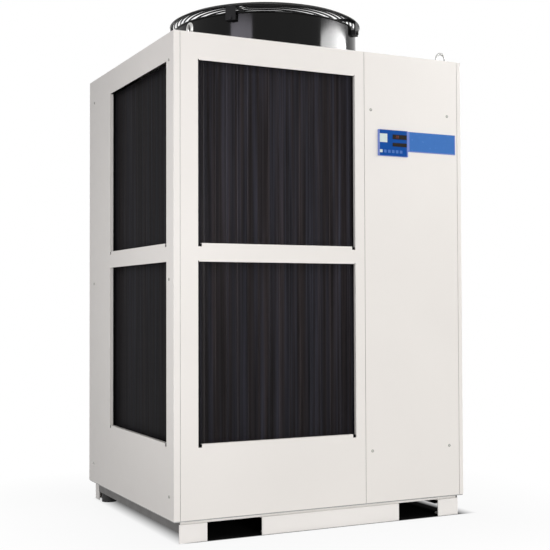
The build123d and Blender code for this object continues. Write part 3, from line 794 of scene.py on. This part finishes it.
class CHILLER_OT_screws(bpy.types.Operator):
    """Adds the panel screws"""

    bl_idname = "chiller.screws"
    bl_label = "Screws"

    def execute(self, context):
        settings = context.scene.chiller_fasteners
        plated = metal_sheet("plated_screw", tuple(context.scene.chiller_finishes.screw), 0.4)
        inset = settings.side_inset
        front = SERVICE_LOW[1]
        left = SERVICE_LOW[0] + inset
        right = SERVICE_HIGH[0] - inset - 14 * MM
        top = SERVICE_HIGH[2] - 170 * MM
        bottom = SERVICE_LOW[2] + 152 * MM
        places = [(left, front, top), (right, front, top), (left, front, bottom), (right, front, bottom)]
        screws("service_panel_screws", places, (0, -1, 0), settings, plated)
        side = LEFT_LOW[0]
        levels = (LEFT_LOW[2] + 62 * MM, LEFT_LOW[2] + 655 * MM, LEFT_HIGH[2] - 74 * MM)
        columns = (LEFT_LOW[1] + 36 * MM, LEFT_HIGH[1] - 56 * MM)
        places = [(side, column, level) for column in columns for level in levels]
        screws("left_panel_screws", places, (-1, 0, 0), settings, plated)
        side = RIGHT_HIGH[0]
        columns = (RIGHT_LOW[1] + 36 * MM, RIGHT_HIGH[1] - 56 * MM)
        places = [(side, column, level) for column in columns for level in levels]
        screws("right_panel_screws", places, (1, 0, 0), settings, plated)
        rear = REAR_UPPER_HIGH[1]
        columns = (REAR_UPPER_LOW[0] + inset, REAR_UPPER_HIGH[0] - inset)
        levels = (REAR_UPPER_HIGH[2] - 74 * MM, REAR_UPPER_LOW[2] + 60 * MM,
                  REAR_LOWER_HIGH[2] - 60 * MM, REAR_LOWER_LOW[2] + 62 * MM)
        places = [(column, rear, level) for column in columns for level in levels]
        screws("rear_panel_screws", places, (0, 1, 0), settings, plated)
        flange_top = BARREL_LOW[2] + 2.0 * MM
        circle = (BARREL_HIGH[0] - BARREL_LOW[0]) / 2 - 9 * MM
        places = []
        for index in range(8):
            angle = radians(22.5 + 45 * index)
            x = FAN_CENTRE[0] + circle * cos(angle)
            y = FAN_CENTRE[1] + circle * sin(angle)
            places.append((x, y, flange_top))
        screws("barrel_flange_screws", places, (0, 0, 1), settings, plated)
        places = []
        directions = []
        for index in range(4):
            angle = radians(45 + 90 * index)
            outward = Vector((cos(angle), sin(angle), 0.0))
            directions.append(outward)
            places.append(Vector((*FAN_CENTRE, GUARD_LOW[2] + 7.5 * MM)) + outward * settings.strap_reach)
        dark = dark_coat("bolt_coat", tuple(context.scene.chiller_finishes.guard))
        bolts("guard_strap_bolts", places, directions, settings, dark)
        return {"FINISHED"}


def area_lamp(name, place, target, size, watts, tint=(1.0, 1.0, 1.0)):
    """A rectangular lamp that faces a target."""
    data = bpy.data.lights.new(name, "AREA")
    data.shape = "RECTANGLE"
    data.size, data.size_y = size
    data.energy = watts
    data.color = tint
    lamp = bpy.data.objects.new(name, data)
    lamp.visible_camera = False
    bpy.context.scene.collection.objects.link(lamp)
    direction = Vector(target) - Vector(place)
    lamp.rotation_euler = direction.to_track_quat("-Z", "Y").to_euler()
    lamp.location = place
    return lamp


def white_surround(strength):
    """World that lights evenly and is white for the camera, reflections and clear things."""
    world = bpy.data.worlds.new("surround")
    world.use_nodes = True
    bpy.context.scene.world = world
    nodes = world.node_tree.nodes
    links = world.node_tree.links
    nodes.clear()
    output = nodes.new("ShaderNodeOutputWorld")
    mix = nodes.new("ShaderNodeMixShader")
    soft = nodes.new("ShaderNodeBackground")
    soft.inputs["Color"].default_value = (1.0, 1.0, 1.0, 1.0)
    soft.inputs["Strength"].default_value = strength
    white = nodes.new("ShaderNodeBackground")
    white.inputs["Color"].default_value = (1.0, 1.0, 1.0, 1.0)
    white.inputs["Strength"].default_value = 1.0
    path = nodes.new("ShaderNodeLightPath")
    first = nodes.new("ShaderNodeMath")
    first.operation = "MAXIMUM"
    second = nodes.new("ShaderNodeMath")
    second.operation = "MAXIMUM"
    links.new(path.outputs["Is Camera Ray"], first.inputs[0])
    links.new(path.outputs["Is Glossy Ray"], first.inputs[1])
    links.new(first.outputs[0], second.inputs[0])
    links.new(path.outputs["Is Transmission Ray"], second.inputs[1])
    links.new(second.outputs[0], mix.inputs["Fac"])
    links.new(soft.outputs[0], mix.inputs[1])
    links.new(white.outputs[0], mix.inputs[2])
    links.new(mix.outputs[0], output.inputs["Surface"])


def outside_gaps(material):
    """How far a point of the floor is outside the painted shadow under the base, along X and along Y."""
    x, y = coordinate_axes(material)[:2]
    spans = (
        (x, PAN_LOW[0] + 75 * MM, PAN_HIGH[0] - 15 * MM),
        (y, BEAM_LOW[1], REAR_BEAM_HIGH[1]),
    )
    gaps = []
    for value, low, high in spans:
        away = combine(material, "ABSOLUTE", combine(material, "SUBTRACT", value, (low + high) / 2), 0.0)
        gaps.append(combine(material, "MAXIMUM", combine(material, "SUBTRACT", away, (high - low) / 2), 0.0))
    return gaps


def floor_painted_shadow_material(fade):
    """Pale floor: a painted shadow, dark under the base and fading out beside it, with the real shadow showing
    faintly near the base and white farther away.
    """
    material = bpy.data.materials.new("pale_floor_painted_shade")
    material.use_nodes = True
    nodes = material.node_tree.nodes
    nodes.clear()
    output = nodes.new("ShaderNodeOutputMaterial")
    mix = nodes.new("ShaderNodeMixShader")
    diffuse = nodes.new("ShaderNodeBsdfDiffuse")
    glow = nodes.new("ShaderNodeEmission")
    glow.inputs["Color"].default_value = (1.0, 1.0, 1.0, 1.0)
    glow.inputs["Strength"].default_value = 1.0
    path = nodes.new("ShaderNodeLightPath")
    gap_x, gap_y = outside_gaps(material)
    squares = [combine(material, "MULTIPLY", gap, gap) for gap in (gap_x, gap_y)]
    away = combine(material, "SQRT", combine(material, "ADD", *squares), 0.0)
    # Painted shadow: the floor's colour is dark under the base and fades to pale over 70 mm beside it and 8 mm
    # in front of and behind it.
    beside = spread(material, gap_x, 0.0, 70 * MM, 0.0, 1.0)
    before = spread(material, gap_y, 0.0, 8 * MM, 0.0, 1.0)
    outside = combine(material, "MAXIMUM", beside, before)
    tone = blend_colors(material, outside, (0.012, 0.012, 0.012), (0.60, 0.60, 0.60))
    link(material, tone, diffuse.inputs["Color"])
    share = combine(material, "MULTIPLY", outside, spread(material, away, 0.0, fade, 0.90, 1.0))
    seen = combine(material, "MAXIMUM", path.outputs["Is Camera Ray"], path.outputs["Is Glossy Ray"])
    seen = combine(material, "MAXIMUM", seen, path.outputs["Is Transmission Ray"])
    link(material, combine(material, "MULTIPLY", share, seen), mix.inputs["Fac"])
    link(material, diffuse.outputs[0], mix.inputs[1])
    link(material, glow.outputs[0], mix.inputs[2])
    link(material, mix.outputs[0], output.inputs["Surface"])
    return material


class CHILLER_OT_stage(bpy.types.Operator):
    """Adds the floor, the lamps and the camera"""

    bl_idname = "chiller.stage"
    bl_label = "Stage"

    def execute(self, context):
        settings = context.scene.chiller_stage
        deselect_all()
        bpy.ops.mesh.primitive_plane_add(size=40.0, location=(0, 0, -0.0005))
        floor = context.object
        floor.name = "floor"
        floor.data.materials.append(floor_painted_shadow_material(settings.fade))
        white_surround(settings.ambient)
        middle = (0.0, 0.0, 0.8)
        barrel = (FAN_CENTRE[0], FAN_CENTRE[1], BARREL_HIGH[2])
        area_lamp("front_light", (-0.3, -5.0, 0.8), middle, (1.8, 1.8), settings.front_watts)
        area_lamp("side_light", (-1.5, -0.49, 0.83), (-0.3, 0.0, 0.9), (1.0, 1.2), settings.side_watts)
        area_lamp("right_strip", (2.78, -1.12, 2.11), barrel, (2.6, 0.22), settings.right_strip_watts)
        cool = (0.92, 0.88, 1.0)
        area_lamp("left_strip", (-2.4, -1.8, 2.11), barrel, (1.35, 0.22), settings.left_strip_watts, cool)
        area_lamp("rear_light", (1.0, 3.6, 1.7), middle, (2.0, 2.0), settings.rear_watts)
        data = bpy.data.cameras.new("camera")
        data.sensor_width = 36.0
        data.sensor_fit = "HORIZONTAL"
        data.lens = settings.lens
        camera = bpy.data.objects.new("camera", data)
        context.scene.collection.objects.link(camera)
        turn = Matrix.Rotation(-settings.yaw, 4, "Z") @ Matrix.Rotation(pi / 2 + settings.pitch, 4, "X")
        turn = turn @ Matrix.Rotation(settings.roll, 4, "Z")
        place = Matrix.Translation((settings.camera_x, settings.camera_y, settings.camera_z))
        camera.matrix_world = place @ turn
        context.scene.camera = camera
        context.scene.view_settings.view_transform = "Standard"
        return {"FINISHED"}


class CHILLER_PT_sidebar(bpy.types.Panel):
    """Lists the pieces of the chiller"""

    bl_idname = "CHILLER_PT_sidebar"
    bl_label = "Chiller"
    bl_space_type = "VIEW_3D"
    bl_region_type = "UI"
    bl_category = "Chiller"

    def draw(self, context):
        for operator in OPERATORS:
            self.layout.operator(operator.bl_idname)
        for group in ("chiller_finishes", "chiller_coil", "chiller_fasteners", "chiller_stage"):
            settings = getattr(context.scene, group)
            box = self.layout.box()
            for name in settings.__annotations__:
                box.prop(settings, name)


GROUPS = (
    ("chiller_finishes", ChillerFinishes),
    ("chiller_coil", ChillerCoil),
    ("chiller_fasteners", ChillerFasteners),
    ("chiller_stage", ChillerStage),
)
OPERATORS = (
    CHILLER_OT_cabinet,
    CHILLER_OT_coil,
    CHILLER_OT_fan,
    CHILLER_OT_controls,
    CHILLER_OT_fittings,
    CHILLER_OT_screws,
    CHILLER_OT_stage,
)


def register():
    for name, group in GROUPS:
        bpy.utils.register_class(group)
        setattr(bpy.types.Scene, name, bpy.props.PointerProperty(type=group))
    for operator in OPERATORS:
        bpy.utils.register_class(operator)
    bpy.utils.register_class(CHILLER_PT_sidebar)


def unregister():
    bpy.utils.unregister_class(CHILLER_PT_sidebar)
    for operator in reversed(OPERATORS):
        bpy.utils.unregister_class(operator)
    for name, group in reversed(GROUPS):
        delattr(bpy.types.Scene, name)
        bpy.utils.unregister_class(group)


def main():
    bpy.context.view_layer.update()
    register()
    bpy.ops.chiller.cabinet()
    bpy.ops.chiller.coil()
    bpy.ops.chiller.fan()
    bpy.ops.chiller.controls()
    bpy.ops.chiller.fittings()
    bpy.ops.chiller.screws()
    bpy.ops.chiller.stage()


if __name__ == "__main__":
    main()
